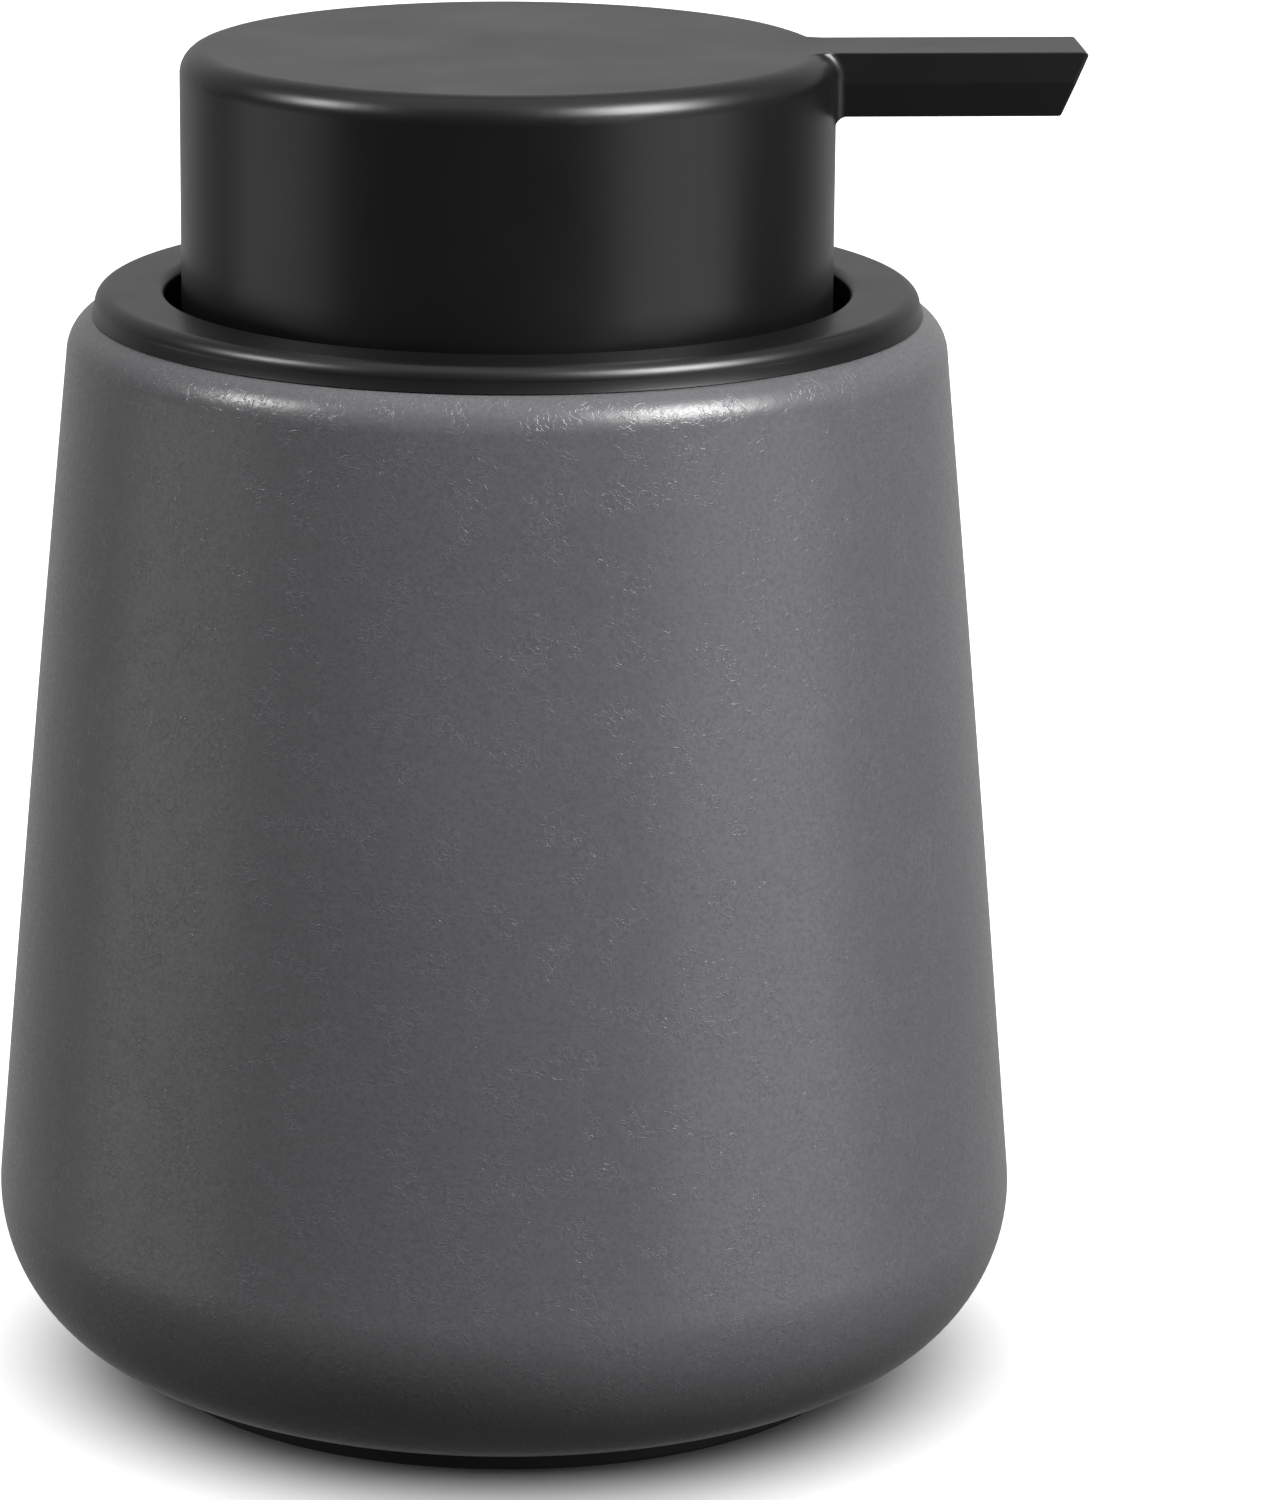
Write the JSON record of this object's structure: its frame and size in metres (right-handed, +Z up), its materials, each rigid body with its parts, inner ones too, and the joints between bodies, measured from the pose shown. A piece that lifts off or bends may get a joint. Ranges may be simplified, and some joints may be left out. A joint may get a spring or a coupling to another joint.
{
  "type": "soap pump dispenser",
  "caption": "Free-standing foaming soap dispenser: tapered ceramic jar, round collar insert, wide push-down head with a flat side spout over an air-and-liquid foam pump.",
  "frame": {"origin": "centre of the resting face of the base pad, on the jar's axis", "axes": "+Z up along the jar's axis; +X towards the spout's tip; front and back are -Y and +Y"},
  "size_m": [0.0944, 0.09, 0.1176],
  "materials": {
    "grey_stoneware": "satin matt glaze",
    "black_abs": "fine matt moulded",
    "black_silicone": "matt",
    "clear_silicone": "satin",
    "black_polypropylene": "ribbed, satin",
    "white_polypropylene": "satin moulded",
    "clear_polyethylene": "smooth extruded",
    "nylon_mesh": "woven",
    "stainless_steel": "drawn, bright"
  },
  "bodies": {
    "bottle": {"ceramic_bottle": "grey_stoneware", "base_pad": "black_silicone"},
    "insert": {"collar_insert": "black_abs", "mouth_seal": "clear_silicone", "neck_gasket": "clear_silicone", "screw_closure": "black_polypropylene", "pump_housing": "white_polypropylene", "stem_guide": "white_polypropylene", "inlet_ball_cage": "white_polypropylene", "dip_tube": "clear_polyethylene", "return_spring": "stainless_steel"},
    "plunger": {"stem_tube": "white_polypropylene", "air_piston": "white_polypropylene", "air_valve_disc": "clear_silicone", "liquid_piston": "white_polypropylene", "mesh_cartridge": "white_polypropylene", "coarse_mesh": "nylon_mesh", "fine_mesh": "nylon_mesh"},
    "head": {"pump_head": "black_abs", "head_core": "white_polypropylene", "nozzle_insert": "black_abs"},
    "inlet_valve": {"inlet_ball": "stainless_steel"},
    "outlet_valve": {"outlet_ball": "stainless_steel"}
  },
  "joints": [
    {"name": "insert_lift", "type": "slide", "parent": "bottle", "child": "insert", "axis": [0, 0, 1], "range_m": [0, 0.09]},
    {"name": "head_press", "type": "slide", "parent": "insert", "child": "plunger", "axis": [0, 0, -1], "range_m": [0, 0.014], "stiffness_N_per_m": 800, "springref_m": -0.01, "deforming": ["return_spring"]},
    {"name": "head_swivel", "type": "hinge", "parent": "plunger", "child": "head", "pos_m": [0, 0, 0.11], "axis": [0, 0, 1], "continuous": true},
    {"name": "inlet_ball_lift", "type": "slide", "parent": "insert", "child": "inlet_valve", "axis": [0, 0, 1], "range_m": [0, 0.0015]},
    {"name": "outlet_ball_lift", "type": "slide", "parent": "plunger", "child": "outlet_valve", "axis": [0, 0, 1], "range_m": [0, 0.0015]}
  ]
}
